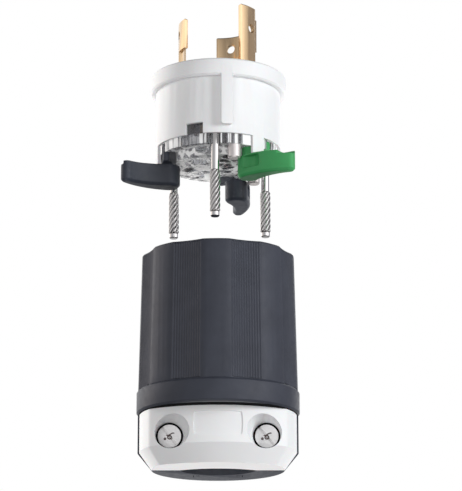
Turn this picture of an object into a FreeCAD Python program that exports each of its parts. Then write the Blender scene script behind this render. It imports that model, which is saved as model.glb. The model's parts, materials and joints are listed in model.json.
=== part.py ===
import FreeCAD, Part
import math
import os

from FreeCAD import Vector

# Locking power plug, shown apart: the contact insert hovers above its housing with its
# three wire levers open. Millimetres, +Z up. The origin is on the plug's axis, in the
# base plane under the cord clamp. Angles are in degrees, counter-clockwise seen from above.

# Housing: dark fluted sleeve, with the rear half of the cord clamp moulded on
housing_height = 63.0
housing_rim_radius = 22.2
housing_foot_radius = 23.06
housing_cavity_radius = 18.8
housing_rim_chamfer = 0.5
land_count = 8
land_angle = 20.0
first_land_direction = 268.7
flute_depth = 0.95
band_radius = 23.5
band_height = 6.8
band_edge = 0.6
cavity_floor = 1.7
screw_boss_radius = 3.6
boss_to_lever_gap = 1.0
pilot_radius = 1.3
pilot_spare_depth = 1.0

# Cord clamp: rear half on the housing, white jaw in front of it
clamp_height = 15.8
rear_radius = 23.1
base_radius = 19.1
base_chamfer_height = 4.9
jaw_radius = 22.6
jaw_front_depth = 17.2
jaw_base_front_depth = 14.6
jaw_edge_direction = 30.3
jaw_split_gap = 0.2
jaw_top_gap = 0.15
cord_half_width = 11.1
cord_rear_depth = 8.6
cord_front_depth = 3.4
grip_rib_depth = 0.8
grip_rib_height = 1.5
grip_rib_count = 3
panel_half_width = 7.2
panel_low = 6.8
panel_high = 14.1
panel_depth = 0.45
panel_corner = 1.2

# Clamp screws and their captive nuts, along Y
clamp_screw_offset = 13.8
clamp_screw_height = 8.5
clamp_head_radius = 3.3
clamp_head_thickness = 2.2
clamp_head_face = 8.0
clamp_counterbore_radius = 4.9
clamp_mouth_radius = 5.35
clamp_mouth_inward = 0.4
clamp_mouth_rise = 0.75
clamp_mouth_floor = 9.6
clamp_shank_radius = 1.75
clamp_shank_clearance = 0.2
clamp_slot_width = 0.7
clamp_slot_depth = 0.7
clamp_slot_turn = 50.0
nut_across_flats = 6.4
nut_thickness = 2.6
nut_seat = 8.0
nut_clearance = 0.15
nut_thread_clearance = 0.05
clamp_shank_beyond_nut = 0.6

# Insert: white blade body
insert_lift = 49.6
flange_radius = 20.3
flange_thickness = 5.2
flange_edge = 0.5
skirt_radius = 18.5
skirt_wall = 1.0
skirt_length = 17.0
face_wall = 3.8
key_direction = 277.4
key_width = 3.3
key_length = 14.9
key_corner = 0.8
keyway_clearance = 0.3
window_from_pivot = -60.0
window_width = 5.3
window_height = 3.3
tab_start = -5.0
tab_end = 8.0
blind_hole_depth = 2.3

# Insert: clear terminal body under the blade body
terminal_fit = 0.1
ring_radius = 17.85
ring_height = 3.0
boss_radius = 14.5
boss_height = 2.4
chamber_wall = 1.0
tab_clearance = 0.15

# Poles: ground, hot and neutral, 120 degrees apart; directions of the lever pivots
pole_directions = {"ground": 308.0, "hot": 188.0, "neutral": 68.0}
pivot_radius = 14.75

# Blades: arc plates about the axis, hooked at one end; angles from the pole's pivot
blade_thickness = 1.2
blade_radius = {"ground": 12.8, "hot": 11.9, "neutral": 11.9}
blade_length = {"ground": 20.4, "hot": 17.4, "neutral": 17.4}
blade_start = {"ground": -6.5, "hot": -33.0, "neutral": -33.0}
stem_end = {"ground": 22.0, "hot": 2.0, "neutral": 2.0}
hook_end = {"ground": 25.5, "hot": 24.5, "neutral": 24.5}
hook_rise = {"ground": 6.7, "hot": 8.1, "neutral": 8.1}
hook_height = {"ground": 10.0, "hot": 9.3, "neutral": 9.3}
blade_hole_turn = {"ground": 13.0, "hot": 1.0, "neutral": 1.0}
blade_hole_radius = 1.3
blade_hole_rise = 13.4
blade_tip_chamfer = 0.35
blade_slot_clearance = 0.15
strap_start = -10.0
strap_height = 6.0

# Wire clamps: u runs from the pivot over the wire to the blade's leg, v is across it
clamp_direction = 145.0
wire_distance = 10.3
wire_hole_radius = 2.5
leg_gap = 0.1
leg_half_width = 2.4
plate_thickness = 0.8
plate_half_width = 2.7
plate_height = 9.0
plate_edge = 0.25
plate_gap = 0.2
floor_clearance = 0.3
chamber_side_gap = 0.5

# Levers: a comma-shaped plate under the insert, with a cam that reaches up into it
lever_gap = 0.2
lever_height = 6.4
lever_head_radius = 3.4
lever_tip_radius = 1.7
lever_convex_radius = 21.5
lever_concave_radius = 16.4
lever_reach = 15.3
lever_tip_direction = 19.0
lever_top_fall = 0.2
lever_step = 1.0
lever_step_length = 4.1
lever_ridge = 1.0
lever_edge = 0.7
scoop_radius = 3.6
scoop_depth = 1.2
scoop_along = 2.6
scoop_bottom = 2.3
scoop_top = 5.8
cam_hub_radius = 2.2
cam_nose_radius = 1.0
cam_nose_distance = 5.6
cam_nose_direction = 76.0
cam_height = 5.2
cam_clearance = 0.2
lever_closing_angle = 88.0

# Pivot pins, locating posts and assembly screws of the insert
pin_radius = 0.8
pin_clearance = 0.06
pin_floor = 1.4
fastener_circle = 15.8
post_from_pivot = -20.8
post_radius = 1.35
post_head_radius = 1.9
post_head_clearance = 0.1
post_below_boss = 1.5
post_chamfer = 0.35
screw_from_pivot = -41.2
screw_head_radius = 2.7
screw_head_thickness = 1.8
screw_head_recess = 0.3
screw_head_clearance = 0.2
screw_slot_width = 0.8
screw_shank_radius = 1.18
screw_thread_radius = 1.55
screw_shank_below_ring = 7.6
screw_thread_length = 14.0
screw_tip_bevel = 0.4
screw_hole_clearance = 0.08

# Heights worked out from the sizes above
insert_seat = housing_height + insert_lift
face_top = insert_seat + flange_thickness
inside_top = face_top - face_wall
skirt_rim = insert_seat - skirt_length
ring_bottom = skirt_rim - ring_height
boss_bottom = ring_bottom - boss_height
lever_top = boss_bottom - lever_gap
lever_bottom = lever_top - lever_height
cam_top = lever_top + cam_height
pin_bottom = lever_bottom + pin_floor
post_bottom = boss_bottom - post_below_boss
blind_hole_top = inside_top + blind_hole_depth
thread_top = ring_bottom - screw_shank_below_ring
thread_bottom = thread_top - screw_thread_length
cavity_bottom = clamp_height + cavity_floor
screw_boss_top = lever_bottom - insert_lift - boss_to_lever_gap
pilot_bottom = thread_bottom - insert_lift - pilot_spare_depth
skirt_inner_radius = skirt_radius - skirt_wall
terminal_radius = skirt_inner_radius - terminal_fit
strap_top = inside_top
strap_bottom = strap_top - strap_height
leg_start = wire_distance + wire_hole_radius + leg_gap
plate_start = cam_nose_distance + cam_nose_radius + plate_gap
overcut = 1.0

UP = Vector(0, 0, 1)


def polar(radius, direction, z=0.0):
    """Point at a radius and direction about the axis."""
    turn = math.radians(direction)
    return Vector(radius * math.cos(turn), radius * math.sin(turn), z)


def cylinder(radius, bottom, top, centre=Vector(0, 0, 0)):
    """Upright cylinder between two heights."""
    return Part.makeCylinder(radius, top - bottom, Vector(centre.x, centre.y, bottom))


def pie(radius, bottom, top, start, end, centre=Vector(0, 0, 0)):
    """Upright wedge of a cylinder between two directions."""
    wedge = Part.makeCylinder(radius, top - bottom, Vector(0, 0, bottom), UP, end - start)
    wedge.rotate(Vector(0, 0, 0), UP, start)
    wedge.translate(centre)
    return wedge


def ring_sector(inner, outer, bottom, top, start, end):
    """Arc-shaped wall about the axis."""
    return pie(outer, bottom, top, start, end).cut(cylinder(inner, bottom - overcut, top + overcut))


def arc(start, middle, end):
    return Part.Arc(start, middle, end).toShape()


def prism(edges, height):
    """Solid from a closed outline, raised by a height."""
    return Part.Face(Part.Wire(edges)).extrude(Vector(0, 0, height))


def box(low, high):
    """Box between two corners."""
    size = high - low
    return Part.makeBox(size.x, size.y, size.z, low)


def about_axis(shape, direction):
    """Copy of a shape turned about the axis."""
    turned = shape.copy()
    turned.rotate(Vector(0, 0, 0), UP, direction)
    return turned


def pivot():
    """Centre of the lever's pivot, in a pole's own frame."""
    return Vector(pivot_radius, 0, 0)


def clamp_box(u_low, u_high, v_low, v_high, bottom, top):
    """Box in the wire clamp's u and v directions, from the pivot."""
    block = box(Vector(u_low, v_low, bottom), Vector(u_high, v_high, top))
    block.rotate(Vector(0, 0, 0), UP, clamp_direction)
    block.translate(pivot())
    return block


def wire_centre():
    return pivot() + polar(wire_distance, clamp_direction)


def rounded_link(first, first_radius, second, second_radius, bottom, top):
    """Solid hull of two upright round posts: two arcs joined by their outer tangents."""
    along = second - first
    heading = math.degrees(math.atan2(along.y, along.x))
    lean = math.degrees(math.acos((first_radius - second_radius) / along.Length))
    a = first + polar(first_radius, heading + lean)
    b = first + polar(first_radius, heading + 180.0)
    c = first + polar(first_radius, heading - lean)
    d = second + polar(second_radius, heading - lean)
    e = second + polar(second_radius, heading)
    f = second + polar(second_radius, heading + lean)
    outline = [arc(a, b, c), Part.makeLine(c, d), arc(d, e, f), Part.makeLine(f, a)]
    link = prism(outline, top - bottom)
    link.translate(Vector(0, 0, bottom))
    return link


def fluted_outline(radius, z):
    """Closed outline of convex lands with shallow hollow flutes between them."""
    pitch = 360.0 / land_count
    edges = []
    for index in range(land_count):
        middle = first_land_direction + index * pitch
        land_start = polar(radius, middle - land_angle / 2, z)
        land_end = polar(radius, middle + land_angle / 2, z)
        next_start = polar(radius, middle + pitch - land_angle / 2, z)
        hollow = polar(radius - flute_depth, middle + pitch / 2, z)
        edges.append(arc(land_start, polar(radius, middle, z), land_end))
        edges.append(arc(land_end, hollow, next_start))
    return Part.Wire(edges)


def cord_outline(inset, z):
    """Lens-shaped outline of the cord hole: a deep arc behind, a shallow one in front."""
    left = Vector(inset - cord_half_width, 0, z)
    right = Vector(cord_half_width - inset, 0, z)
    behind = Vector(0, cord_rear_depth - inset, z)
    before = Vector(0, inset - cord_front_depth, z)
    return [arc(left, behind, right), arc(right, before, left)]


def cord_hole():
    """Tool for the cord hole, narrower where the grip ribs stand."""
    top = cavity_bottom + overcut
    hole = prism(cord_outline(grip_rib_depth, -overcut), top + overcut)
    pitch = clamp_height / grip_rib_count
    gap_bottom = -overcut
    for index in range(grip_rib_count):
        rib_bottom = index * pitch + (pitch - grip_rib_height) / 2
        hole = hole.fuse(prism(cord_outline(0.0, gap_bottom), rib_bottom - gap_bottom))
        gap_bottom = rib_bottom + grip_rib_height
    return hole.fuse(prism(cord_outline(0.0, gap_bottom), top - gap_bottom))


def hexagon(across_flats, start, end, x):
    """Six-sided prism along Y, centred on a clamp screw."""
    corner = across_flats / math.sqrt(3.0)
    points = []
    for index in range(7):
        turn = math.radians(60.0 * index)
        point = Vector(x + corner * math.cos(turn), start, clamp_screw_height + corner * math.sin(turn))
        points.append(point)
    return Part.Face(Part.makePolygon(points)).extrude(Vector(0, end - start, 0))


def along_y(radius, start, end, x):
    """Cylinder along Y, centred on a clamp screw."""
    return Part.makeCylinder(radius, end - start, Vector(x, start, clamp_screw_height), Vector(0, 1, 0))


def make_housing():
    foot = clamp_height + band_height
    shoulder = housing_height - housing_rim_chamfer
    walls = [
        fluted_outline(housing_foot_radius, foot),
        fluted_outline(housing_rim_radius, shoulder),
        fluted_outline(housing_rim_radius - housing_rim_chamfer, housing_height),
    ]
    sleeve = Part.makeLoft(walls, True, True)
    band = cylinder(band_radius, clamp_height, foot)
    band = band.makeChamfer(band_edge, [e for e in band.Edges if e.Closed])
    rear = cylinder(rear_radius, base_chamfer_height, clamp_height)
    taper = Part.makeCone(base_radius, rear_radius, base_chamfer_height)
    half = box(Vector(-band_radius, 0, 0), Vector(band_radius, band_radius, clamp_height))
    rear = rear.fuse(taper).common(half)
    body = sleeve.fuse([band, rear])

    cavity = cylinder(housing_cavity_radius, cavity_bottom, housing_height + overcut)
    for pole in pole_directions.values():
        centre = polar(fastener_circle, pole + screw_from_pivot)
        screw_boss = cylinder(screw_boss_radius, cavity_bottom, screw_boss_top, centre)
        cavity = cavity.cut(screw_boss)
        cavity = cavity.fuse(cylinder(pilot_radius, pilot_bottom, screw_boss_top + overcut, centre))
    key_half = key_width / 2 + keyway_clearance
    keyway = box(
        Vector(0, -key_half, housing_height - key_length - keyway_clearance),
        Vector(flange_radius + keyway_clearance, key_half, housing_height + overcut),
    )
    body = body.cut(cavity).cut(about_axis(keyway, key_direction)).cut(cord_hole())
    for side in (-1, 1):
        x = side * clamp_screw_offset
        body = body.cut(along_y(clamp_shank_radius + clamp_shank_clearance, -overcut, nut_seat + overcut, x))
        body = body.cut(hexagon(nut_across_flats + 2 * nut_clearance, nut_seat, rear_radius, x))
    return body.removeSplitter()


def jaw_outline(radius, front_depth, z):
    """Outline of the white jaw: round sides, a flatter bulged front and a straight back."""
    edge = polar(radius, -jaw_edge_direction, z)
    reach = math.sqrt(radius**2 - jaw_split_gap**2)
    corner = Vector(reach, -jaw_split_gap, z)
    side = polar(radius, -jaw_edge_direction / 2, z)

    def mirrored(point):
        return Vector(-point.x, point.y, z)

    front = Vector(0, -front_depth, z)
    return Part.Wire([
        arc(corner, side, edge),
        arc(edge, front, mirrored(edge)),
        arc(mirrored(edge), mirrored(side), mirrored(corner)),
        Part.makeLine(mirrored(corner), corner),
    ])


def make_clamp_jaw():
    levels = [
        jaw_outline(base_radius, jaw_base_front_depth, 0),
        jaw_outline(jaw_radius, jaw_front_depth, base_chamfer_height),
        jaw_outline(jaw_radius, jaw_front_depth, clamp_height - jaw_top_gap),
    ]
    jaw = Part.makeLoft(levels, True, True).cut(cord_hole())
    inner = Part.makeLoft([
        jaw_outline(jaw_radius, jaw_front_depth - panel_depth, panel_low - overcut),
        jaw_outline(jaw_radius, jaw_front_depth - panel_depth, panel_high + overcut),
    ], True, True)
    plate = box(
        Vector(-panel_half_width, -jaw_front_depth - overcut, panel_low),
        Vector(panel_half_width, 0, panel_high),
    )
    upright = [e for e in plate.Edges if abs(e.tangentAt(e.FirstParameter).y) > 0.99]
    plate = plate.makeFillet(panel_corner, upright)
    jaw = jaw.cut(plate.cut(inner))
    for side in (-1, 1):
        x = side * clamp_screw_offset
        head_back = clamp_head_thickness - clamp_head_face
        jaw = jaw.cut(along_y(clamp_counterbore_radius, -jaw_front_depth - overcut, head_back, x))
        mouth = along_y(clamp_mouth_radius, -jaw_front_depth - overcut, -clamp_mouth_floor, x)
        mouth.translate(Vector(-side * clamp_mouth_inward, 0, clamp_mouth_rise))
        jaw = jaw.cut(mouth)
        jaw = jaw.cut(along_y(clamp_shank_radius + clamp_shank_clearance, head_back - overcut, overcut, x))
    return jaw.removeSplitter()


def make_clamp_screw(side):
    """Slotted screw whose flat head lies at the bottom of the jaw's counterbore."""
    x = side * clamp_screw_offset
    head_back = clamp_head_thickness - clamp_head_face
    tip = nut_seat + nut_thickness + clamp_shank_beyond_nut
    screw = along_y(clamp_head_radius, -clamp_head_face, head_back, x)
    screw = screw.fuse(along_y(clamp_shank_radius, head_back, tip, x))
    slot = box(
        Vector(x - clamp_head_radius, -clamp_head_face, clamp_screw_height - clamp_slot_width / 2),
        Vector(x + clamp_head_radius, clamp_slot_depth - clamp_head_face, clamp_screw_height + clamp_slot_width / 2),
    )
    slot.rotate(Vector(x, 0, clamp_screw_height), Vector(0, 1, 0), clamp_slot_turn)
    return screw.cut(slot)


def make_clamp_nut(side):
    x = side * clamp_screw_offset
    nut = hexagon(nut_across_flats, nut_seat, nut_seat + nut_thickness, x)
    thread = along_y(clamp_shank_radius + nut_thread_clearance, nut_seat - overcut, nut_seat + nut_thickness + overcut, x)
    return nut.cut(thread)


def blade_opening(name, bottom, top, start, end):
    """Arc slot that a blade passes through, with its clearance."""
    gap = blade_slot_clearance
    outer = blade_radius[name]
    turn = math.degrees(gap / outer)
    inner = outer - blade_thickness - gap
    return ring_sector(inner, outer + gap, bottom, top, start - turn, end + turn)


def strap_from(name):
    """Direction at which the blade's strap starts, from the pole's pivot."""
    return max(blade_start[name], strap_start)


def leg_direction(name):
    """Direction at which the blade's leg meets its strap, from the pole's pivot."""
    radius = blade_radius[name] - blade_thickness / 2
    start = pivot() + polar(leg_start + blade_thickness / 2, clamp_direction)
    across = polar(1.0, clamp_direction + 90.0)
    along = start.x * across.x + start.y * across.y
    run = -along - math.sqrt(along**2 - start.x**2 - start.y**2 + radius**2)
    meeting = start + across * run
    return math.degrees(math.atan2(meeting.y, meeting.x))


def make_blade(name):
    """Hooked arc blade, with a strap inside the body and a leg down beside the wire."""
    outer = blade_radius[name]
    inner = outer - blade_thickness
    start = blade_start[name]
    top = face_top + blade_length[name]
    hook_bottom = face_top + hook_rise[name]
    hook_top = hook_bottom + hook_height[name]
    hook = ring_sector(inner, outer, hook_bottom, hook_top, start, hook_end[name])
    stem = ring_sector(inner, outer, strap_top, top, start, stem_end[name])
    prong = stem.fuse(hook).removeSplitter()
    rims = [e for e in prong.Edges if e.BoundBox.ZMin > top - 0.01]
    prong = prong.makeChamfer(blade_tip_chamfer, rims)
    strap = ring_sector(inner, outer, strap_bottom, strap_top, strap_from(name), leg_direction(name))
    leg = clamp_box(
        leg_start, leg_start + blade_thickness, -pivot_radius, leg_half_width,
        ring_bottom + floor_clearance, strap_top,
    )
    leg = leg.common(cylinder(outer, ring_bottom, strap_top))
    hole = Part.makeCylinder(
        blade_hole_radius, outer + overcut, Vector(0, 0, face_top + blade_hole_rise), Vector(1, 0, 0)
    )
    blade = prong.fuse([strap, leg]).cut(about_axis(hole, blade_hole_turn[name]))
    return blade.removeSplitter()


def make_blade_body():
    """White nylon body: flange with the blade slots, skirt, key rib, windows and tabs."""
    flange = cylinder(flange_radius, insert_seat, face_top)
    flange = flange.makeChamfer(flange_edge, [e for e in flange.Edges if e.Closed])
    skirt = cylinder(skirt_radius, skirt_rim, insert_seat + flange_edge)
    key = box(
        Vector(skirt_inner_radius + skirt_wall / 2, -key_width / 2, insert_seat - key_length),
        Vector(flange_radius, key_width / 2, insert_seat + flange_edge),
    )
    low_edges = [
        e for e in key.Edges
        if e.BoundBox.ZMax < insert_seat - key_length + 0.01 and e.BoundBox.XLength > 0.01
    ]
    key = key.makeFillet(key_corner, low_edges)
    body = flange.fuse([skirt, about_axis(key, key_direction)])
    body = body.cut(cylinder(skirt_inner_radius, skirt_rim - overcut, inside_top))
    for name, direction in pole_directions.items():
        tab = ring_sector(skirt_inner_radius, skirt_radius, boss_bottom, skirt_rim + overcut, tab_start, tab_end)
        body = body.fuse(about_axis(tab, direction))
        window = box(
            Vector(boss_radius, -window_width / 2, skirt_rim - overcut),
            Vector(flange_radius, window_width / 2, skirt_rim + window_height),
        )
        body = body.cut(about_axis(window, direction + window_from_pivot))
        slot = blade_opening(name, inside_top - overcut, face_top + overcut, blade_start[name], hook_end[name])
        body = body.cut(about_axis(slot, direction))
        centre = polar(fastener_circle, direction + screw_from_pivot)
        shank = screw_thread_radius + screw_hole_clearance
        head = screw_head_radius + screw_head_clearance
        head_depth = screw_head_thickness + screw_head_recess
        body = body.cut(cylinder(shank, inside_top - overcut, face_top + overcut, centre))
        body = body.cut(cylinder(head, face_top - head_depth, face_top + overcut, centre))
        post = polar(fastener_circle, direction + post_from_pivot)
        body = body.cut(cylinder(post_radius, inside_top - overcut, blind_hole_top, post))
        body = body.cut(cylinder(pin_radius, inside_top - overcut, blind_hole_top, polar(pivot_radius, direction)))
    return body.removeSplitter()


def cam_at(turn, growth, bottom, top):
    """The cam's hub and nose at a turn of the lever, grown all round."""
    nose = pivot() + polar(cam_nose_distance, cam_nose_direction + turn)
    return rounded_link(pivot(), cam_hub_radius + growth, nose, cam_nose_radius + growth, bottom, top)


def cam_sweep(bottom, top):
    """Space that the cam passes through from open to closed, with its clearance."""
    reach = cam_nose_distance + cam_nose_radius + cam_clearance
    closed = cam_nose_direction + lever_closing_angle
    between = pie(reach, bottom, top, cam_nose_direction, closed, pivot())
    ends = [cam_at(turn, cam_clearance, bottom, top) for turn in (0.0, lever_closing_angle)]
    return between.fuse(ends)


def pole_cavity(name):
    """Everything cut from the clear body for one pole, in that pole's own frame."""
    low = ring_bottom
    v_low = -plate_half_width - chamber_side_gap - blade_thickness
    v_high = plate_half_width + chamber_side_gap
    u_low = plate_start - plate_gap
    u_high = leg_start + blade_thickness + floor_clearance
    shaft = clamp_box(u_low, u_high, v_low, v_high, low, inside_top + overcut)
    lower = shaft.common(cylinder(boss_radius - chamber_wall, low, skirt_rim + overcut))
    upper = shaft.common(cylinder(terminal_radius - chamber_wall, skirt_rim, inside_top + overcut))
    strap = blade_opening(
        name, strap_bottom - blade_slot_clearance, inside_top + overcut, strap_from(name), leg_direction(name)
    )
    wire = cylinder(wire_hole_radius, boss_bottom - overcut, low + overcut, wire_centre())
    sweep = cam_sweep(boss_bottom - overcut, cam_top + cam_clearance)
    pin = cylinder(pin_radius + pin_clearance, boss_bottom, inside_top + overcut, pivot())
    post_place = polar(fastener_circle, post_from_pivot)
    post = cylinder(post_radius + screw_hole_clearance, boss_bottom - overcut, inside_top + overcut, post_place)
    post_head = cylinder(post_head_radius + post_head_clearance, boss_bottom - overcut, low, post_place)
    shank = screw_thread_radius + screw_hole_clearance
    channel = box(
        Vector(fastener_circle, -shank, boss_bottom - overcut),
        Vector(flange_radius, shank, inside_top + overcut),
    )
    channel = channel.fuse(
        cylinder(shank, boss_bottom - overcut, inside_top + overcut, Vector(fastener_circle, 0, 0))
    )
    channel = about_axis(channel, screw_from_pivot)
    notch_turn = math.degrees(tab_clearance / skirt_radius)
    notch = ring_sector(
        skirt_inner_radius - tab_clearance, flange_radius, boss_bottom - overcut, skirt_rim,
        tab_start - notch_turn, tab_end + notch_turn,
    )
    return lower.fuse([upper, strap, wire, sweep, pin, post, post_head, channel, notch])


def make_terminal_body():
    """Clear body: core with three wire chambers, seating ring and raised wire boss."""
    core = cylinder(terminal_radius, skirt_rim, inside_top)
    ring = cylinder(ring_radius, ring_bottom, skirt_rim)
    boss = cylinder(boss_radius, boss_bottom, ring_bottom)
    body = core.fuse([ring, boss])
    for name, direction in pole_directions.items():
        body = body.cut(about_axis(pole_cavity(name), direction))
    return body.removeSplitter()


def make_pressure_plate():
    """Flat plate between the lever's cam and the wire."""
    bottom = ring_bottom + floor_clearance
    plate = clamp_box(
        plate_start, plate_start + plate_thickness, -plate_half_width, plate_half_width,
        bottom, bottom + plate_height,
    )
    across = [e for e in plate.Edges if e.BoundBox.ZLength < 0.01 and e.Length > plate_half_width]
    return plate.makeChamfer(plate_edge, across)


def tangent_arc(first, first_radius, second, second_radius, radius, side):
    """Arc that touches two circles and bends to the left; side 1 is left of them, -1 is right."""
    along = second - first
    first_reach = radius + side * first_radius
    second_reach = radius + side * second_radius
    run = (first_reach**2 - second_reach**2 + along.Length**2) / (2 * along.Length)
    rise = math.sqrt(first_reach**2 - run**2)
    unit = along / along.Length
    centre = first + unit * run + Vector(-unit.y, unit.x, 0) * rise
    start = first + (centre - first) * (side * first_radius / first_reach)
    end = second + (centre - second) * (side * second_radius / second_reach)
    middle = (start + end) * 0.5 - centre
    return start, centre + middle * (radius / middle.Length), end


def lever_outline():
    """Comma outline about the pivot: round head, bent tapering tail and round tip."""
    head = Vector(0, 0, 0)
    tip = polar(lever_reach - lever_tip_radius, lever_tip_direction)
    sizes = (head, lever_head_radius, tip, lever_tip_radius)
    right = tangent_arc(*sizes, lever_convex_radius, -1)
    left = tangent_arc(*sizes, lever_concave_radius, 1)
    back = polar(lever_head_radius, lever_tip_direction + 180.0)
    end = polar(lever_reach, lever_tip_direction)
    return [arc(left[0], back, right[0]), arc(*right), arc(right[2], end, left[2]), arc(*reversed(left))]


def make_lever():
    """Lever in its pole's frame, open: plate, thumb scoop, end step, cam and blind pin hole."""
    plate = prism(lever_outline(), lever_height)
    rim = [e for e in plate.Edges if e.BoundBox.ZMax < 0.01]
    plate = plate.makeChamfer(lever_edge, rim)

    # The top falls towards the tip and drops by a step before it, beside a ridge on the hollow side
    slope = math.degrees(math.atan2(lever_top_fall, lever_reach - lever_head_radius))
    fall = box(Vector(0, -lever_reach, 0), Vector(2 * lever_reach, lever_reach, lever_height))
    fall.rotate(Vector(0, 0, 0), Vector(0, 1, 0), slope)
    fall.rotate(Vector(0, 0, 0), UP, lever_tip_direction)
    fall.translate(polar(lever_head_radius, lever_tip_direction, lever_height))
    step = box(
        Vector(lever_reach - lever_step_length, -lever_reach, lever_height - lever_top_fall - lever_step),
        Vector(2 * lever_reach, lever_tip_radius - lever_ridge, lever_height + overcut),
    )
    step.rotate(Vector(0, 0, 0), UP, lever_tip_direction)

    # The scoop is a hollow for the thumb in the convex side, beside the head
    outward = polar(lever_head_radius + scoop_radius - scoop_depth, lever_tip_direction - 90.0)
    scoop = cylinder(scoop_radius, scoop_bottom, scoop_top, outward + polar(scoop_along, lever_tip_direction))

    lever = plate.cut([fall, step, scoop])
    lever.translate(pivot() + Vector(0, 0, lever_bottom))
    lever = lever.fuse(cam_at(0.0, 0.0, lever_top, cam_top))
    lever = lever.cut(cylinder(pin_radius + pin_clearance, pin_bottom - pin_clearance, cam_top + overcut, pivot()))
    return lever.removeSplitter()


def make_pivot_pin():
    """Plain pin from inside the lever up into the white body."""
    return cylinder(pin_radius, pin_bottom, blind_hole_top, pivot())


def make_post():
    """Locating post, pressed into the white body, with a bevelled head under the clear ring."""
    head = cylinder(post_head_radius, post_bottom, ring_bottom)
    foot = [e for e in head.Edges if e.Closed and e.BoundBox.ZMax < post_bottom + 0.01]
    head = head.makeChamfer(post_chamfer, foot)
    post = head.fuse(cylinder(post_radius, ring_bottom, blind_hole_top))
    post.translate(polar(fastener_circle, post_from_pivot))
    return post


def make_assembly_screw():
    """Long captive screw: slotted head in the face, slim shank, thread and blunt tip."""
    head_top = face_top - screw_head_recess
    head = cylinder(screw_head_radius, head_top - screw_head_thickness, head_top)
    slot = box(
        Vector(-screw_head_radius, -screw_slot_width / 2, head_top - screw_head_thickness / 2),
        Vector(screw_head_radius, screw_slot_width / 2, head_top + overcut),
    )
    shank = cylinder(screw_shank_radius, thread_top, head_top - screw_head_thickness)
    thread = cylinder(screw_thread_radius, thread_bottom, thread_top)
    tip = [e for e in thread.Edges if e.Closed and e.BoundBox.ZMax < thread_bottom + 0.01]
    thread = thread.makeChamfer(screw_tip_bevel, tip)
    screw = head.cut(slot).fuse([shank, thread])
    screw.translate(polar(fastener_circle, screw_from_pivot))
    return screw


def make_all():
    """Every piece by its node's name."""
    pieces = {
        "housing": make_housing(),
        "clamp_jaw": make_clamp_jaw(),
        "blade_body": make_blade_body(),
        "terminal_body": make_terminal_body(),
    }
    for side, word in ((-1, "left"), (1, "right")):
        pieces["clamp_screw_" + word] = make_clamp_screw(side)
        pieces["clamp_nut_" + word] = make_clamp_nut(side)
    pole_pieces = {
        "lever": make_lever(),
        "pressure_plate": make_pressure_plate(),
        "pivot_pin": make_pivot_pin(),
        "locating_post": make_post(),
        "assembly_screw": make_assembly_screw(),
    }
    for pole, direction in pole_directions.items():
        pieces[pole + "_blade"] = about_axis(make_blade(pole), direction)
        for word, shape in pole_pieces.items():
            pieces[pole + "_" + word] = about_axis(shape, direction)
    return pieces


os.makedirs("parts", exist_ok=True)
for node, solid in make_all().items():
    solid.exportStep("parts/" + node + ".step")
    print(node, "solids", len(solid.Solids), "valid", solid.isValid(), "volume", round(solid.Volume, 1))
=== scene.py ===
"""Looks of a locking power plug shown apart: metres, +Z along the plug's axis, the camera on the -Y side."""

import json
import math

import bmesh
import bpy
import numpy as np
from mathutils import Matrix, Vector


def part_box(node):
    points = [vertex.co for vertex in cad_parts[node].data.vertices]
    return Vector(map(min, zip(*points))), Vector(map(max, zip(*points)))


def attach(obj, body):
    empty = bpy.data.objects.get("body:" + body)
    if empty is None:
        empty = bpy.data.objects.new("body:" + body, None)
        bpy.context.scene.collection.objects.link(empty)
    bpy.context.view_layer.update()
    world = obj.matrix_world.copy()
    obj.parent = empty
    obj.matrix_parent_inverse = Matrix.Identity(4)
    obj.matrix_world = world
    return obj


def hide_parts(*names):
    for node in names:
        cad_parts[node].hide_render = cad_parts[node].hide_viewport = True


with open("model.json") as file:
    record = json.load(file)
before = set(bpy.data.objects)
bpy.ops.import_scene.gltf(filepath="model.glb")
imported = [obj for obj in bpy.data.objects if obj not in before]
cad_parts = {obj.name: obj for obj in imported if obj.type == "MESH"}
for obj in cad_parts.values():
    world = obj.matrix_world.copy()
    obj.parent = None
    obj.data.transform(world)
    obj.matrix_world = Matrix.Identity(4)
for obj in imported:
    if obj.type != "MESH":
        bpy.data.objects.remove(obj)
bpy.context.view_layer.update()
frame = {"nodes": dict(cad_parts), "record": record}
NODES = frame["nodes"]
BODY_OF = {node: body for body, nodes in frame["record"]["behaviour"]["bodies"].items() for node in nodes}
SLOT_OF = {row["node"]: row["material_slot"] for row in frame["record"]["subparts"]}
POLES = ("ground", "hot", "neutral")
SIDES = ((-1, "left"), (1, "right"))
MM = 0.001

# Camera: fitted to the photograph's frame of 462 x 491 pixels
PHOTO_WIDTH = 462
PHOTO_HEIGHT = 491
CAMERA_PLACE = (0.0, -0.6374, -0.1035)
CAMERA_PITCH = math.radians(14.94)
FOCAL_PIXELS = 2247.1
AXIS_PIXEL = 218.08
SENSOR = 36.0

# Edges and shading; lengths in metres, angles in degrees
MERGED_WITHIN = 0.002 * MM
EDGE_WIDTH = 0.22 * MM
FINE_EDGE_WIDTH = 0.12 * MM
EDGE_ANGLE = 32.0
SMOOTH_ANGLE = 35.0
LEVER_CELL = 0.16 * MM
LEVER_RELAXING = 14

# Cord clamp, in mm: the white jaw's plan, the cord hole, and the screws' places and heads
JAW_RADIUS = 22.6
JAW_FRONT = 18.0
JAW_BASE_RADIUS = 19.1
JAW_BASE_FRONT = 14.6
JAW_EDGE_DIRECTION = 30.3
JAW_BACK = 0.2
JAW_BASE_HEIGHT = 4.9
CLAMP_HEIGHT = 15.8
CORD_HALF_WIDTH = 11.1
CORD_REAR = 8.6
CORD_FRONT = 3.4
GRIP_RIBS = 3
GRIP_RIB_DEPTH = 0.8
GRIP_RIB_HEIGHT = 1.5
SCREW_X = 13.8
SCREW_Z = 8.5
SCREW_FACE = -8.0

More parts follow.
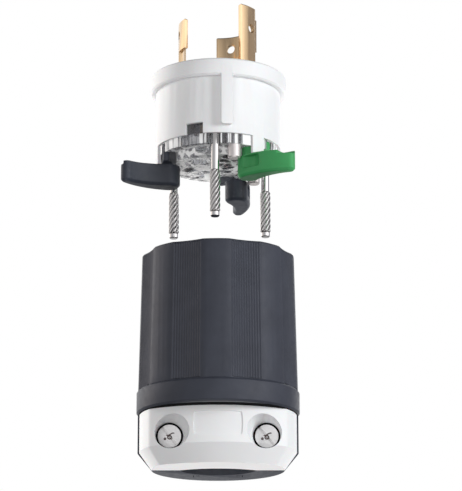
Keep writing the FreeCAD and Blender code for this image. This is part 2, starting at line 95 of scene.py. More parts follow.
# Housing, in mm: the sleeve's lands and flutes, and the lower face of its band
SLEEVE_FOOT = 22.6
SLEEVE_HEIGHT = 40.4
SLEEVE_FOOT_RADIUS = 23.06
SLEEVE_FALL = 0.86
FLUTES = 8
FIRST_FLUTE_DIRECTION = 291.2
FLUTE_HALF_TURN = 12.5
FLUTE_DEPTH = 0.95
BAND_INNER_EDGE = 22.93
BAND_UNDERSIDE = 15.79


def graph(material):
    """The node tree of a fresh material, with its shader."""
    material.use_nodes = True
    tree = material.node_tree
    return tree, tree.nodes["Principled BSDF"]


def add_node(tree, kind, settings=None, inputs=None):
    """A node with its settings and inputs: an input given as another node's output is linked to it."""
    made = tree.nodes.new(kind)
    for name, value in (settings or {}).items():
        setattr(made, name, value)
    for name, value in (inputs or {}).items():
        if isinstance(value, bpy.types.NodeSocket):
            tree.links.new(value, made.inputs[name])
        else:
            made.inputs[name].default_value = value
    return made


def calculate(tree, operation, first, second):
    """Result of a Math node for two values."""
    return add_node(tree, "ShaderNodeMath", {"operation": operation}, {0: first, 1: second}).outputs[0]


def rescale(tree, value, start, end, low=0.0, high=1.0):
    """Maps a value's range from start to end to the range from low to high, and holds it at both."""
    return add_node(tree, "ShaderNodeMapRange", inputs={
        "Value": value, "From Min": start, "From Max": end, "To Min": low, "To Max": high,
    }).outputs["Result"]


def vary(tree, noise, low, high):
    """Maps the middle of a 0 to 1 noise to the range from low to high."""
    return rescale(tree, noise, 0.3, 0.7, low, high)


def tint(tree, share, dark, light):
    """Blend of two colours by a share."""
    return add_node(tree, "ShaderNodeMix", {"data_type": "RGBA"}, {
        0: share, 6: (*dark, 1.0), 7: (*light, 1.0),
    }).outputs[2]


def object_place(tree):
    """Place on the object's own axes, in metres."""
    return add_node(tree, "ShaderNodeTexCoord").outputs["Object"]


def grain(tree, size, stretch=(1.0, 1.0, 1.0), detail=3.0):
    """Noise on Object coordinates whose bumps are about size metres across, longer where stretch is small."""
    mapping = add_node(tree, "ShaderNodeMapping", inputs={"Vector": object_place(tree), "Scale": stretch})
    return add_node(tree, "ShaderNodeTexNoise", inputs={
        "Vector": mapping.outputs["Vector"], "Scale": 1.0 / size, "Detail": detail,
    }).outputs["Fac"]


def bump(tree, shader, height, distance):
    """Relief of a depth in metres, from a 0 to 1 height."""
    made = add_node(tree, "ShaderNodeBump", inputs={"Height": height, "Strength": 1.0, "Distance": distance})
    tree.links.new(made.outputs["Normal"], shader.inputs["Normal"])


def moulded(name, dark, light, roughness, texture_size, texture_depth, subsurface=0.0, specular=0.5):
    """Moulded nylon: cloudy colour, a fine spark-eroded texture and uneven gloss."""
    material = bpy.data.materials.new(name)
    tree, shader = graph(material)
    cloud = vary(tree, grain(tree, 7 * MM), 0.0, 1.0)
    tree.links.new(tint(tree, cloud, dark, light), shader.inputs["Base Color"])
    gloss = vary(tree, grain(tree, 1.6 * MM), roughness - 0.05, roughness + 0.05)
    tree.links.new(gloss, shader.inputs["Roughness"])
    bump(tree, shader, grain(tree, texture_size), texture_depth)
    shader.inputs["IOR"].default_value = 1.53
    shader.inputs["Subsurface Weight"].default_value = subsurface
    shader.inputs["Subsurface Scale"].default_value = 1.5 * MM
    shader.inputs["Specular IOR Level"].default_value = specular
    return material


def metal(
    name, dark, light, roughness, lines_size, lines_depth, stretch=(1.0, 1.0, 0.1), metallic=1.0, by=None
):
    """Metal with drawn or rolled lines, coloured by them or by a named attribute of the mesh."""
    material = bpy.data.materials.new(name)
    tree, shader = graph(material)
    lines = grain(tree, lines_size, stretch)
    if by is None:
        share = vary(tree, lines, 0.0, 1.0)
    else:
        share = add_node(tree, "ShaderNodeAttribute", {"attribute_name": by}).outputs["Fac"]
    tree.links.new(tint(tree, share, dark, light), shader.inputs["Base Color"])
    patches = vary(tree, grain(tree, 1.2 * MM), roughness * 0.8, roughness * 1.25)
    tree.links.new(patches, shader.inputs["Roughness"])
    bump(tree, shader, lines, lines_depth)
    shader.inputs["Metallic"].default_value = metallic
    return material


def clear_plastic(ring_bottom, ring_top):
    """Polished polycarbonate: upright streaks on the ring between two heights, and cells below it, whose
    whitish colour is painted reflection.

    One pattern sets the colour, the relief and the share of light that goes through, so that clear and
    silvery streaks lie side by side. Above the ring, inside the white body, it is clear all over.
    """
    material = bpy.data.materials.new("clear_polycarbonate")
    tree, shader = graph(material)
    shader.inputs["IOR"].default_value = 1.5
    tree.links.new(vary(tree, grain(tree, 2.5 * MM), 0.0, 0.04), shader.inputs["Roughness"])
    place = object_place(tree)
    height = add_node(tree, "ShaderNodeSeparateXYZ", inputs={0: place}).outputs["Z"]
    cells = add_node(tree, "ShaderNodeTexVoronoi", {"feature": "DISTANCE_TO_EDGE"}, {
        "Vector": place, "Scale": 1.0 / (3.6 * MM),
    })
    # Painted reflection: cells below the ring and upright streaks on it set where the plastic is pale and
    # lets less light through; they also set its relief, which is real
    painted_reflection_cells = calculate(tree, "ADD", cells.outputs["Distance"], grain(tree, 2.4 * MM))
    painted_reflection_streaks = grain(tree, 1.3 * MM, (1.0, 1.0, 0.02), detail=2.0)
    mix = add_node(tree, "ShaderNodeMix", {"data_type": "FLOAT"}, {
        0: rescale(tree, height, ring_bottom - 0.3 * MM, ring_bottom + 0.3 * MM),
        2: vary(tree, painted_reflection_cells, -1.7, 1.3),
        3: vary(tree, painted_reflection_streaks, -0.9, 1.6),
    })
    inside = rescale(tree, height, ring_top, ring_top + 0.3 * MM, 0.0, 1.3)
    pattern = calculate(tree, "MAXIMUM", mix.outputs[0], inside)
    # Pale where little light goes through, as painted silvery reflection; tinted grey where most light goes
    # through
    colour = tint(tree, pattern, (0.99, 0.985, 0.98), (0.40, 0.41, 0.45))
    tree.links.new(colour, shader.inputs["Base Color"])
    tree.links.new(rescale(tree, pattern, 0.0, 1.0, 0.05, 0.95), shader.inputs["Transmission Weight"])
    bump(tree, shader, pattern, 0.30 * MM)
    return material


DARK_NYLON = moulded("dark_nylon", (0.032, 0.035, 0.048), (0.041, 0.045, 0.061), 0.42, 0.22 * MM, 0.006 * MM)
LEVER_NYLON = moulded("lever_nylon", (0.029, 0.033, 0.045), (0.036, 0.041, 0.054), 0.42, 0.3 * MM, 0.004 * MM)
WHITE_NYLON = moulded(
    "white_nylon", (0.845, 0.845, 0.85), (0.865, 0.865, 0.87), 0.46, 0.9 * MM, 0.0008 * MM, subsurface=0.06
)
GREEN_NYLON = moulded(
    "green_nylon", (0.046, 0.300, 0.094), (0.056, 0.335, 0.108), 0.38, 0.3 * MM, 0.004 * MM, subsurface=0.05
)
# Black for painted shade under the band and in the gaps round the clamp screws' heads, and for the gauge
# marks
PAINTED_SHADE_AND_MARK_BLACK = moulded(
    "painted_shade_and_mark_black", (0.003, 0.003, 0.004), (0.005, 0.005, 0.006), 0.85, 0.4 * MM, 0.002 * MM, specular=0.05
)
HEAD_MARK_BROWN = moulded("head_mark_brown", (0.050, 0.028, 0.026), (0.075, 0.045, 0.042), 0.5, 0.4 * MM, 0.002 * MM)
BRASS = metal("blade_brass", (0.81, 0.575, 0.34), (0.87, 0.64, 0.40), 0.19, 1.6 * MM, 0.0005 * MM)
CHROME = metal("screw_chrome", (0.86, 0.84, 0.84), (0.92, 0.91, 0.91), 0.06, 1.0 * MM, 0.0005 * MM)
# Painted shade: chrome dark in the thread's grooves and light on the ridges, by each point's ridge share
CHROME_WITH_PAINTED_GROOVE_SHADE = metal(
    "chrome_with_painted_groove_shade", (0.20, 0.18, 0.18), (1.0, 0.98, 0.98), 0.06, 1.0 * MM, 0.0005 * MM, by="ridge"
)
POST_PLATING = metal(
    "post_plating", (0.90, 0.83, 0.82), (0.95, 0.90, 0.89), 0.20, 1.0 * MM, 0.0004 * MM, metallic=0.7
)
STEEL = metal(
    "plated_steel", (0.93, 0.92, 0.92), (0.97, 0.96, 0.96), 0.30, 0.3 * MM, 0.0004 * MM,
    stretch=(1.0, 0.1, 1.0), metallic=0.0,
)
CLEAR_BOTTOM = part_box("terminal_body")[0][2]
CLEAR = clear_plastic(CLEAR_BOTTOM + 2.4 * MM, CLEAR_BOTTOM + 5.4 * MM)

SLOT_MATERIAL = {
    "dark_nylon": DARK_NYLON,
    "white_nylon": WHITE_NYLON,
    "clear_polycarbonate": CLEAR,
    "green_nylon": GREEN_NYLON,
    "blade_brass": BRASS,
    "screw_chrome": CHROME,
    "plated_steel": STEEL,
}


def finish_of(node):
    """The material of a CAD node; dark levers and the posts have finishes of their own."""
    if node.endswith("_lever") and SLOT_OF[node] == "dark_nylon":
        return LEVER_NYLON
    if node.endswith("_locating_post"):
        return POST_PLATING
    return SLOT_MATERIAL[SLOT_OF[node]]


def dress(node):
    """Gives a CAD node its finish."""
    mesh = NODES[node].data
    mesh.materials.clear()
    mesh.materials.append(finish_of(node))


def merged_copy(node):
    """A CAD node's mesh, open for work, with its doubles merged."""
    work = bmesh.new()
    work.from_mesh(NODES[node].data)
    bmesh.ops.remove_doubles(work, verts=work.verts, dist=MERGED_WITHIN)
    return work


def new_object(name, data):
    """Object at the origin, linked to the scene."""
    made = bpy.data.objects.new(name, data)
    bpy.context.scene.collection.objects.link(made)
    return made


def object_from(name, work, material):
    """Object with a material, from a mesh that was open for work."""
    mesh = bpy.data.meshes.new(name)
    work.to_mesh(mesh)
    work.free()
    mesh.materials.append(material)
    return new_object(name, mesh)


def shade_smooth(mesh, angle=None):
    """Shades a mesh smooth, up to the edges sharper than an angle if there is one."""
    mesh.polygons.foreach_set("use_smooth", np.ones(len(mesh.polygons), bool))
    if angle is not None:
        mesh.set_sharp_from_angle(angle=math.radians(angle))


def stand_for(piece, node):
    """Makes a piece ride on a CAD node's body, in its place."""
    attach(piece, BODY_OF[node])
    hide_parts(node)


def round_edges(piece, width, segments=3):
    """Smooth faces with rounded edges of a width, wherever two faces meet at more than an angle."""
    shade_smooth(piece.data)
    rounding = piece.modifiers.new("rounding", "BEVEL")
    rounding.width = width
    rounding.segments = segments
    rounding.limit_method = "ANGLE"
    rounding.angle_limit = math.radians(EDGE_ANGLE)
    rounding.harden_normals = True
    rounding.use_clamp_overlap = True
    rounding.miter_outer = "MITER_ARC"


def softened(node, width, segments=3):
    """Copy of a CAD node with its flat faces joined and its edges rounded by a width."""
    work = merged_copy(node)
    bmesh.ops.dissolve_limit(
        work, angle_limit=math.radians(0.5), verts=work.verts, edges=work.edges, use_dissolve_boundaries=False
    )
    piece = object_from(node + "_rounded", work, finish_of(node))
    round_edges(piece, width, segments)
    stand_for(piece, node)
    return piece


def smoothed_lever(pole):
    """Lever remeshed in small even cells and relaxed, for soft moulded edges and a hollow scoop."""
    node = pole + "_lever"
    piece = object_from(node + "_soft", merged_copy(node), finish_of(node))
    cells = piece.modifiers.new("cells", "REMESH")
    cells.mode = "VOXEL"
    cells.voxel_size = LEVER_CELL
    cells.use_smooth_shade = True
    relaxed = piece.modifiers.new("relaxed", "SMOOTH")
    relaxed.factor = 0.5
    relaxed.iterations = LEVER_RELAXING
    stand_for(piece, node)


def closed_skin(rings, first_tip, last_tip):
    """Points and faces of a closed skin: rings joined round and along in order, and shut by two tips."""
    count, around = rings.shape[:2]
    points = np.concatenate([rings.reshape(-1, 3), [first_tip, last_tip]])
    low = np.arange(count * around).reshape(count, around)
    after = np.roll(low, -1, axis=1)
    walls = np.stack([low[:-1], after[:-1], after[1:], low[1:]], axis=-1).reshape(-1, 4).tolist()
    first = np.full(around, count * around)
    start = np.stack([first, after[0], low[0]], axis=-1).tolist()
    end = np.stack([first + 1, low[-1], after[-1]], axis=-1).tolist()
    return points, walls + start + end


def hoop_skin(rings):
    """Points and faces of a hoop: rings joined round and along, with the last one joined to the first."""
    count, around = rings.shape[:2]
    low = np.arange(count * around).reshape(count, around)
    after = np.roll(low, -1, axis=1)
    faces = np.stack([low, after, np.roll(after, -1, axis=0), np.roll(low, -1, axis=0)], axis=-1)
    return rings.reshape(-1, 3), faces.reshape(-1, 4).tolist()


def skin_object(name, points, faces):
    """Object from points in mm, with its faces turned outwards."""
    mesh = bpy.data.meshes.new(name)
    mesh.from_pydata((points * MM).tolist(), [], faces)
    work = bmesh.new()
    work.from_mesh(mesh)
    bmesh.ops.recalc_face_normals(work, faces=work.faces)
    work.to_mesh(mesh)
    work.free()
    return new_object(name, mesh)


def skin_piece(name, skin, material, body):
    """Skin in mm as a finished piece that rides on a body."""
    made = skin_object(name, *skin)
    made.data.materials.append(material)
    shade_smooth(made.data, SMOOTH_ANGLE)
    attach(made, body)


def circle(count):
    """Even angles round a circle, without the last."""
    return np.linspace(0, 2 * math.pi, count, endpoint=False)


def round_y(centre_x, centre_z, radius, y, count):
    """Rings of count points round an axis along Y, one for each radius and y."""
    turn = circle(count)
    radius, y = np.atleast_1d(radius)[:, None], np.atleast_1d(y)[:, None]
    centre_x, centre_z = np.atleast_1d(centre_x)[:, None], np.atleast_1d(centre_z)[:, None]
    return np.stack([
        centre_x + radius * np.cos(turn), y + 0 * turn, centre_z + radius * np.sin(turn),
    ], axis=-1)


def grooved_rod(centre, bottom, top):
    """Point and thread of an assembly screw in mm: its skin, and each point's share of the ridge's height,
    which paints shade into the grooves.

    The radius is root + height (0.5 + 0.5 cos(8 a - 2 pi z / pitch))^0.8: eight right-handed starts, where a
    is the angle and z the height. The ridges fade out at both ends, above a plain point with a bevelled end.
    """
    root, height, pitch, starts = 1.24, 0.31, 1.75, 8
    plain, bevelled, plain_top, fade_length = 1.35, 1.12, 1.25, 0.35
    thread = np.linspace(1.45, top - bottom - 0.22, 96)
    level = np.concatenate([[0.0, 0.22, plain_top, 1.32], thread, [top - bottom]])
    base = np.concatenate([[bevelled, plain, plain, root], np.full(len(thread), root), [1.2]])
    from_end = np.minimum(level - 1.4, top - bottom - 0.1 - level)
    fade = np.clip(from_end / fade_length, 0.0, 1.0)
    angle = circle(96)
    wave = 0.5 + 0.5 * np.cos(starts * angle[None, :] - 2 * math.pi * level[:, None] / pitch)
    radius = base[:, None] + height * fade[:, None] * wave**0.8
    rings = np.stack([
        centre[0] + radius * np.cos(angle), centre[1] + radius * np.sin(angle),
        np.broadcast_to(bottom + level[:, None], radius.shape),
    ], axis=-1)
    # Painted shade: the ridge share is 0 down in the grooves and 1 on the ridges and on the plain point
    ridge = np.clip((radius.ravel() - root - 0.01) / 0.09, 0.0, 1.0)
    ridge = np.where(radius.ravel() < 1.2, 1.0, ridge)
    return closed_skin(rings, (*centre, bottom), (*centre, top)), np.concatenate([ridge, [1.0, 1.0]])


def make_screw(pole):
    """Assembly screw: the CAD head and shank down to the thread, and below it a rod with steep ridges."""
    node = pole + "_assembly_screw"
    low, high = np.array(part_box(node)) / MM
    thread_top = low[2] + 14.0
    skin, ridge = grooved_rod((low[:2] + high[:2]) / 2, low[2], thread_top)
    rod = skin_object(node + "_thread", *skin)
    # The ridge share paints shade into the rod's grooves
    rod.data.materials.append(CHROME_WITH_PAINTED_GROOVE_SHADE)
    rod.data.attributes.new("ridge", "FLOAT", "POINT").data.foreach_set("value", ridge)
    work = merged_copy(node)
    cut = bmesh.ops.bisect_plane(
        work, geom=work.verts[:] + work.edges[:] + work.faces[:],
        plane_co=(0, 0, (thread_top + 0.02) * MM), plane_no=(0, 0, 1), clear_inner=True,
    )
    rim = [part for part in cut["geom_cut"] if isinstance(part, bmesh.types.BMEdge)]
    bmesh.ops.edgenet_fill(work, edges=rim)
    shank = object_from(node + "_shank", work, CHROME)
    for piece in (rod, shank):
        shade_smooth(piece.data, SMOOTH_ANGLE)
        stand_for(piece, node)


def arc_through(first, middle, last, count):
    """Points of the circle through three points in plan, from the first to the last, without the last."""
    a, b, c = (complex(*point) for point in (first, middle, last))
    w = (c - a) / (b - a)
    centre = (b - a) * (w - abs(w) ** 2) / (w - w.conjugate()) + a
    turns = np.angle([(a - centre), (b - centre), (c - centre)])
    sweep = (turns[2] - turns[0]) % (2 * math.pi)
    if (turns[1] - turns[0]) % (2 * math.pi) > sweep:
        sweep -= 2 * math.pi
    angle = turns[0] + sweep * np.arange(count) / count
    reach = abs(a - centre)
    return np.stack([centre.real + reach * np.cos(angle), centre.imag + reach * np.sin(angle)], axis=-1)


def jaw_outline(radius, front):
    """Plan of the white jaw in mm: round sides, a flatter bulged front and a straight back."""
    turn = math.radians(JAW_EDGE_DIRECTION)
    edge = (radius * math.cos(turn), -radius * math.sin(turn))
    side = (radius * math.cos(turn / 2), -radius * math.sin(turn / 2))
    corner = (math.sqrt(radius**2 - JAW_BACK**2), -JAW_BACK)
    return np.concatenate([
        arc_through((-corner[0], corner[1]), (-side[0], side[1]), (-edge[0], edge[1]), 20),
        arc_through((-edge[0], edge[1]), (0.0, -front), edge, 56),
        arc_through(edge, side, corner, 20),
        [corner],
    ])


def at_height(plan, height):
    """Points of a plan, raised by one height or by one for each point."""
    return np.column_stack([plan, height + 0 * plan[:, 0]])


def jaw_blank():
    """The jaw before its holes: three plans up the wall, from the base by the slant to the top.

    The slant's upper edge rises by 0.3 - 0.3 (x / 19.5)^2 mm across the front.
    """
    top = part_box("clamp_jaw")[1][2] / MM
    base, wall = jaw_outline(JAW_BASE_RADIUS, JAW_BASE_FRONT), jaw_outline(JAW_RADIUS, JAW_FRONT)
    front = (np.abs(wall[:, 0]) < 19.5) & (wall[:, 1] < -11.0)
    rise = np.where(front, 0.3 - 0.3 * (wall[:, 0] / 19.5) ** 2, 0.0)
    rings = np.stack([at_height(base, 0.0), at_height(wall, JAW_BASE_HEIGHT + rise), at_height(wall, top)])
    return skin_object("clamp_jaw_cut", *closed_skin(rings, (0, -8, 0), (0, -8, top)))


def cord_outline(inset):
    """Plan of the cord hole in mm: a deep arc behind and a shallow one in front, drawn in by an inset."""
    left, right = (inset - CORD_HALF_WIDTH, 0.0), (CORD_HALF_WIDTH - inset, 0.0)
    return np.concatenate([
        arc_through(right, (0.0, CORD_REAR - inset), left, 32),
        arc_through(left, (0.0, inset - CORD_FRONT), right, 32),
    ])


def cord_cutter():
    """Tool for the cord hole, narrower where the grip ribs stand."""
    bottom, top = -1.0, 18.0
    pitch = CLAMP_HEIGHT / GRIP_RIBS
    steps = [(bottom, 0.0)]
    for index in range(GRIP_RIBS):
        low = index * pitch + (pitch - GRIP_RIB_HEIGHT) / 2
        high = low + GRIP_RIB_HEIGHT
        steps += [(low, 0.0), (low, GRIP_RIB_DEPTH), (high, GRIP_RIB_DEPTH), (high, 0.0)]
    steps.append((top, 0.0))
    rings = np.stack([at_height(cord_outline(inset), z) for z, inset in steps])
    return skin_object("cord_cut", *closed_skin(rings, (0, 1, bottom), (0, 1, top)))


def recess_cutter(side):
    """Tool for one screw recess: shank hole, head pocket, and a funnel that leans inwards and upwards."""
    inwards, upwards, radius, y = np.array([
        (0.0, 0.0, 1.95, 1.0), (0.0, 0.0, 1.95, -5.8), (0.0, 0.0, 3.75, -5.8), (0.0, 0.0, 3.85, -7.6),
        (0.2, 0.12, 4.25, -11.0), (0.4, 0.25, 4.8, -14.6), (0.65, 0.37, 5.6, -19.0),
    ]).T
    x, z = side * SCREW_X - side * inwards, SCREW_Z + upwards
    rings = round_y(x, z, radius, y, 72)
    return skin_object("recess_cut", *closed_skin(rings, (x[0], y[0], z[0]), (x[-1], y[-1], z[-1])))


def panel_cutter():
    """Tool for the shallow panel: a rounded square, 0.28 mm deep, whose floor follows the jaw's front.

    The front is an arc of 32.13 mm radius about y = 14.13 mm. The floor's rings draw in to its middle.
    """
    half_x, low, high, corner, depth = 7.0, 7.2, 14.1, 1.2, 0.28
    front_centre, front_radius, outside = 14.13, 32.13, -20.0
    middle = (low + high) / 2
    angle = circle(96) + 0.01
    across = np.clip(1.6 * np.cos(angle), -1, 1) * (half_x - corner) + corner * np.cos(angle)
    up = np.clip(1.6 * np.sin(angle), -1, 1) * ((high - low) / 2 - corner) + corner * np.sin(angle)
    shares = np.array([1.0, 1.0, 0.75, 0.5, 0.25])[:, None]
    x, z = across * shares, middle + up * shares
    y = front_centre - np.sqrt(front_radius**2 - x**2) + depth
    y[0] = outside
    rings = np.stack([x, y, z], axis=-1)
    floor = front_centre - front_radius + depth
    return skin_object("panel_cut", *closed_skin(rings, (0, outside, middle), (0, floor, middle)))


def make_jaw():
    """White jaw of the cord clamp with flared screw recesses: the blank less its hole, recesses and panel."""
    blank = jaw_blank()
    cutters = [cord_cutter(), recess_cutter(-1), recess_cutter(1), panel_cutter()]
    for cutter in cutters:
        taken = blank.modifiers.new(cutter.name, "BOOLEAN")
        taken.operation = "DIFFERENCE"
        taken.solver = "EXACT"
        taken.object = cutter
    bpy.context.view_layer.update()
    mesh = bpy.data.meshes.new_from_object(blank.evaluated_get(bpy.context.evaluated_depsgraph_get()))
    for used in [*cutters, blank]:
        bpy.data.objects.remove(used)
    mesh.materials.clear()
    mesh.materials.append(finish_of("clamp_jaw"))
    piece = new_object("clamp_jaw_shell", mesh)
    round_edges(piece, EDGE_WIDTH)
    stand_for(piece, "clamp_jaw")


def make_painted_shade_under_band():
    """Painted shade under the band: a matt black strip round its front half, that ends 3.3 mm outside the
    jaw's plan.
    """
    inner, beyond_jaw, thickness = 17.0, 3.3, 0.05
    plan = jaw_outline(JAW_RADIUS, JAW_FRONT)[:-1]
    turn = np.degrees(np.arctan2(plan[:, 1], plan[:, 0])) % 360.0
    degrees = np.linspace(181.0, 359.0, 90)
    jaw_reach = np.interp(degrees, turn, np.hypot(plan[:, 0], plan[:, 1]))
    outer = np.minimum(jaw_reach + beyond_jaw, BAND_INNER_EDGE)
    radius = np.stack([outer, outer, inner + 0 * outer, inner + 0 * outer], axis=1)
    angle = np.radians(degrees)[:, None]
    height = BAND_UNDERSIDE - thickness * np.array([0, 1, 1, 0])
    rings = np.stack([radius * np.cos(angle), radius * np.sin(angle), height + 0 * angle], axis=-1)
    tips = rings.mean(axis=1)
    skin = closed_skin(rings, tips[0], tips[-1])
    # The black strip is painted shade: it stands for the shade under the band
    skin_piece("painted_shade_under_band", skin, PAINTED_SHADE_AND_MARK_BLACK, BODY_OF["housing"])


def flute_rib_ring(direction, z):
    """Cross-section of a flute's ribs at a height: ridges outside, and the flute's own arc 0.25 mm inside.

    The flute is an arc whose middle lies FLUTE_DEPTH inside the lands' radius, which falls towards the rim.
    """
    ribs, proud, sunk, back, margin = 12, 0.13, 0.03, 0.25, 0.25
    across = np.linspace(-1, 1, 2 * ribs + 1)
    ridge = np.where(np.arange(2 * ribs + 1) % 2 == 1, proud, -sunk)
    land = SLEEVE_FOOT_RADIUS - (z - SLEEVE_FOOT) / SLEEVE_HEIGHT * SLEEVE_FALL
    half_turn = math.radians(FLUTE_HALF_TURN)
    chord = land * math.sin(half_turn)
    rise = land * math.cos(half_turn) - (land - FLUTE_DEPTH)
    bend = (chord**2 + rise**2) / (2 * rise)
    along = across * (chord - margin)
    hollow = land - FLUTE_DEPTH + bend - np.sqrt(bend**2 - along**2)
    reach = np.concatenate([hollow + ridge, (hollow - back)[::-1]])
    along = np.concatenate([along, along[::-1]])
    return np.stack([
        reach * math.cos(direction) - along * math.sin(direction),
        reach * math.sin(direction) + along * math.cos(direction),
        np.full(len(along), z),
    ], axis=-1)


def make_flute_ribs():
    """Fine upright grip ribs in the hollow flutes, twelve in each, from above the band to below the rim."""
    for index in range(FLUTES):
        direction = math.radians(FIRST_FLUTE_DIRECTION + 360 / FLUTES * index)
        rings = np.stack([flute_rib_ring(direction, z) for z in (22.9, 62.3)])
        skin = closed_skin(rings, *rings.mean(axis=1))
        skin_piece("flute_ribs_%d" % (index + 1), skin, DARK_NYLON, BODY_OF["housing"])


def bar_along(path, radius):
    """Skin of a round bar with eight sides, carried along a path of points in mm."""
    path = np.asarray(path, float)
    along = np.gradient(path, axis=0)
    along /= np.linalg.norm(along, axis=1)[:, None]
    across = np.cross(along, [0.31, 0.17, 0.93])
    across /= np.linalg.norm(across, axis=1)[:, None]
    other = np.cross(along, across)
    turn = circle(8)[None, :, None]
    rings = path[:, None, :] + radius * (np.cos(turn) * across[:, None, :] + np.sin(turn) * other[:, None, :])
    return closed_skin(rings, path[0], path[-1])


def make_clamp_face(side, word):
    """A clamp screw's head: a black ring in the gap round it as painted shade, and marks on it: a ring, a
    curved line and a dot.
    """
    around = 64
    x, z, body = side * SCREW_X, SCREW_Z, BODY_OF["clamp_screw_" + word]
    # Painted shade: a thin black ring in the gap round the head stands for the shade down in that gap
    gap_shade_radius, gap_shade_y = np.array([(3.36, -7.75), (3.36, -7.92), (3.82, -7.98), (3.82, -7.75)]).T
    rim = hoop_skin(round_y(x, z, gap_shade_radius, gap_shade_y, around))
    skin_piece("clamp_painted_gap_shade_" + word, rim, PAINTED_SHADE_AND_MARK_BLACK, body)
    turn = circle(around)
    arc = np.radians(np.linspace(160, 20, 20))
    marks = {
        "ring": (x + 0.02 + 0.52 * np.cos(turn), z - 0.3 + 0.52 * np.sin(turn)),
        "curve": (x + 0.25 + 1.15 * np.cos(arc), z + 0.55 + 0.35 * np.sin(2 * arc)),
        "dot": (x - 1.25 + 0.22 * np.cos(turn), z - 0.75 + 0.22 * np.sin(turn)),
    }
    for mark, (across, up) in marks.items():
        path = np.stack([across, np.full(len(across), SCREW_FACE + 0.02), up], axis=-1)
        skin_piece("clamp_%s_%s" % (mark, word), bar_along(path, 0.17), HEAD_MARK_BROWN, body)


def make_gauge_marks(side, word):
    """Strip-length mark under the housing: a short line with an arrow head, as bars sunk all but a sliver."""
    bar_radius, depth = 0.5, 0.46
    paths = {
        "line": [(side * 7.1, y, depth) for y in np.linspace(9.0, 12.2, 6)],
        "arrow": [(side * x, y, depth) for x, y in ((5.4, 10.9), (6.4, 9.9), (5.4, 8.9))],
    }
    for mark, path in paths.items():
        skin = bar_along(path, bar_radius)
        skin_piece("gauge_%s_%s" % (mark, word), skin, PAINTED_SHADE_AND_MARK_BLACK, BODY_OF["housing"])


def soft_lamp(name, azimuth, elevation, size, level, colour):
    """Square lamp 0.65 m from the plug's middle, at degrees from the camera's side.

    Its level is about what it adds to white nylon that faces it. Gloss and clear plastic see the studio.
    """
    aim, distance, power = Vector((0.0, 0.0, 0.07)), 0.65, 11.5
    turn, rise = math.radians(azimuth), math.radians(elevation)
    away = Vector((math.sin(turn) * math.cos(rise), -math.cos(turn) * math.cos(rise), math.sin(rise)))
    lamp = bpy.data.lights.new(name, "AREA")
    lamp.shape = "SQUARE"
    lamp.size = size
    lamp.energy = power * level * distance**2
    lamp.color = colour
    holder = new_object(name, lamp)
    holder.location = aim + away * distance
    holder.rotation_mode = "QUATERNION"
    holder.rotation_quaternion = (-away).to_track_quat("-Z", "Y")
    holder.visible_glossy = False
    holder.visible_transmission = False


def background(tree, colour):
    """Output of a Background node of strength 1, whose colour is a value or another node's output."""
    return add_node(tree, "ShaderNodeBackground", inputs={"Color": colour, "Strength": 1.0}).outputs[0]


def blend(tree, share, first, second):
    """Output of a Mix Shader node."""
    return add_node(tree, "ShaderNodeMixShader", inputs={0: share, 1: first, 2: second}).outputs[0]


def studio_bands(tree, share, stops):
    """Background in upright bands round the object; a stop is degrees from the camera's side and a colour."""
    ramp = add_node(tree, "ShaderNodeValToRGB", inputs={"Fac": share})
    elements = ramp.color_ramp.elements
    while len(elements) > 1:
        elements.remove(elements[-1])
    elements[0].position = 0.0
    elements[0].color = (*stops[0][1:], 1.0)
    for degrees, red, green, blue in stops[1:]:
        elements.new((degrees + 180) / 360).color = (red, green, blue, 1.0)
    return background(tree, ramp.outputs["Color"])


# What gloss reflects: a warm panel at the far left, a dim front, a bright panel at the front right
GLOSS_BANDS = (
    (-180, 1.0, 1.0, 1.0), (-135, 1.0, 1.0, 0.98), (-125, 1.5, 1.38, 1.28), (-108, 1.4, 1.28, 1.20),
    (-96, 0.62, 0.58, 0.56), (-62, 0.45, 0.44, 0.43), (-40, 0.32, 0.32, 0.33), (-22, 0.34, 0.34, 0.35),
    (0, 0.62, 0.62, 0.63), (25, 0.95, 0.95, 0.96), (50, 1.55, 1.55, 1.55), (64, 1.50, 1.50, 1.50),
    (77, 1.05, 1.04, 1.05), (90, 0.42, 0.42, 0.44), (118, 0.28, 0.28, 0.31), (134, 0.30, 0.30, 0.33),
    (146, 1.0, 1.0, 1.0),
)

# Greys that gloss sees below and above: full beyond the first height of the direction, gone by the second
GLOSS_LAYERS = ((-0.16, -0.04, 0.36), (-0.55, -0.38, 0.10), (-0.93, -0.86, 0.85), (0.72, 0.52, 0.12))

# What shows through the clear plastic: white all round, with narrow dark gaps
CLEAR_BANDS = (
    (-180, 1.6, 1.6, 1.6), (-150, 1.6, 1.6, 1.6), (-142, 0.25, 0.25, 0.27), (-132, 1.5, 1.5, 1.5),
    (-100, 1.5, 1.5, 1.5), (-90, 0.15, 0.15, 0.17), (-70, 1.0, 1.0, 1.0), (-45, 0.9, 0.9, 0.9),
    (-36, 0.2, 0.2, 0.22), (-22, 1.4, 1.4, 1.4), (15, 1.5, 1.5, 1.5), (24, 0.2, 0.2, 0.22),
    (36, 1.5, 1.5, 1.5), (80, 1.5, 1.5, 1.5), (90, 0.12, 0.12, 0.14), (105, 1.4, 1.4, 1.4),
    (140, 1.5, 1.5, 1.5), (147, 0.3, 0.3, 0.32), (155, 1.6, 1.6, 1.6),
)


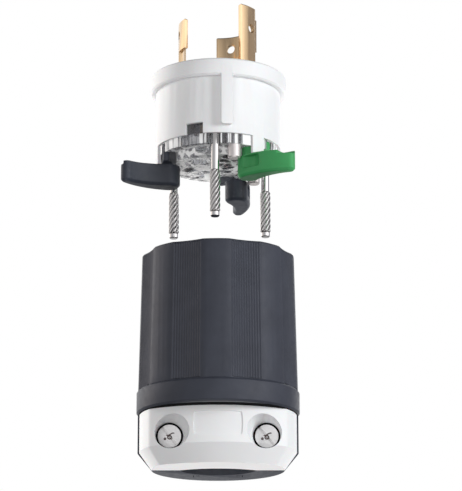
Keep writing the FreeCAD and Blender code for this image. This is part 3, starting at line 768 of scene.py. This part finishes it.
def make_world():
    """White backdrop for the camera, a weak even light, and studios for gloss and for clear plastic."""
    world = bpy.data.worlds.new("studio")
    bpy.context.scene.world = world
    world.cycles.sampling_method = "NONE"
    world.use_nodes = True
    tree = world.node_tree
    tree.nodes.clear()
    direction = add_node(tree, "ShaderNodeTexCoord").outputs["Generated"]
    parts = add_node(tree, "ShaderNodeSeparateXYZ", inputs={0: direction})
    forwards = calculate(tree, "MULTIPLY", parts.outputs["Y"], -1.0)
    turn = calculate(tree, "ARCTAN2", parts.outputs["X"], forwards)
    share = rescale(tree, turn, -math.pi, math.pi)
    gloss = studio_bands(tree, share, GLOSS_BANDS)
    for full, none, grey in GLOSS_LAYERS:
        layer = background(tree, (grey, grey, grey, 1.0))
        gloss = blend(tree, rescale(tree, parts.outputs["Z"], full, none), layer, gloss)
    rays = add_node(tree, "ShaderNodeLightPath")
    shown = background(tree, (0.30, 0.30, 0.305, 1.0))
    for kind, light in (
        ("Is Glossy Ray", gloss),
        ("Is Transmission Ray", studio_bands(tree, share, CLEAR_BANDS)),
        ("Is Camera Ray", background(tree, (1.0, 1.0, 1.0, 1.0))),
    ):
        shown = blend(tree, rays.outputs[kind], shown, light)
    add_node(tree, "ShaderNodeOutputWorld", inputs={"Surface": shown})


def make_floor():
    """Pale floor just under the base that shows from above only: the low camera looks up through it."""
    half, height = 0.6, -0.05 * MM
    mesh = bpy.data.meshes.new("floor")
    corners = [(-half, -half, height), (half, -half, height), (half, half, height), (-half, half, height)]
    mesh.from_pydata(corners, [], [(0, 1, 2, 3)])
    floor = new_object("floor", mesh)
    material = bpy.data.materials.new("floor_paper")
    tree, shader = graph(material)
    shader.inputs["Base Color"].default_value = (0.88, 0.88, 0.88, 1.0)
    shader.inputs["Roughness"].default_value = 0.8
    underneath = add_node(tree, "ShaderNodeNewGeometry").outputs["Backfacing"]
    nothing = add_node(tree, "ShaderNodeBsdfTransparent").outputs[0]
    shown = blend(tree, underneath, shader.outputs[0], nothing)
    tree.links.new(shown, tree.nodes["Material Output"].inputs["Surface"])
    mesh.materials.append(material)
    floor.visible_diffuse = False
    floor.visible_glossy = False
    floor.visible_transmission = False
    floor.visible_shadow = False


def make_camera():
    """Camera at the photograph's place: the focal length and the shift come from its frame in pixels."""
    lens = bpy.data.cameras.new("camera")
    lens.sensor_width = SENSOR
    lens.lens = FOCAL_PIXELS * SENSOR / PHOTO_HEIGHT
    lens.shift_x = (PHOTO_WIDTH / 2 - AXIS_PIXEL) / PHOTO_HEIGHT
    lens.clip_start = 0.01
    lens.clip_end = 10.0
    camera = new_object("camera", lens)
    camera.location = CAMERA_PLACE
    camera.rotation_euler = (math.pi / 2 + CAMERA_PITCH, 0.0, 0.0)
    bpy.context.scene.camera = camera


for node in NODES:
    dress(node)
for node in ("housing", "blade_body"):
    softened(node, EDGE_WIDTH)
make_jaw()
# Painted shade under the band
make_painted_shade_under_band()
make_flute_ribs()
for side, word in SIDES:
    make_gauge_marks(side, word)
for side, word in SIDES:
    make_clamp_face(side, word)
clear_body = softened("terminal_body", FINE_EDGE_WIDTH, segments=2)
clear_body.visible_shadow = False
clear_body.visible_diffuse = False
for pole in POLES:
    softened(pole + "_blade", FINE_EDGE_WIDTH)
    smoothed_lever(pole)
    make_screw(pole)

make_world()
make_floor()
soft_lamp("rim_left", -122, 8, 0.22, 0.95, (1.0, 0.98, 0.95))
soft_lamp("rim_right", 150, 8, 0.22, 0.25, (0.97, 0.98, 1.0))
soft_lamp("key_right", 60, 6, 0.20, 0.64, (0.96, 0.985, 1.0))
soft_lamp("fill_front", -20, -11, 0.30, 0.27, (1.0, 0.995, 0.99))
soft_lamp("fill_below", 172, -52, 0.30, 0.75, (1.0, 0.985, 0.975))
make_camera()
bpy.context.scene.view_settings.view_transform = "Standard"

bpy.context.view_layer.update()
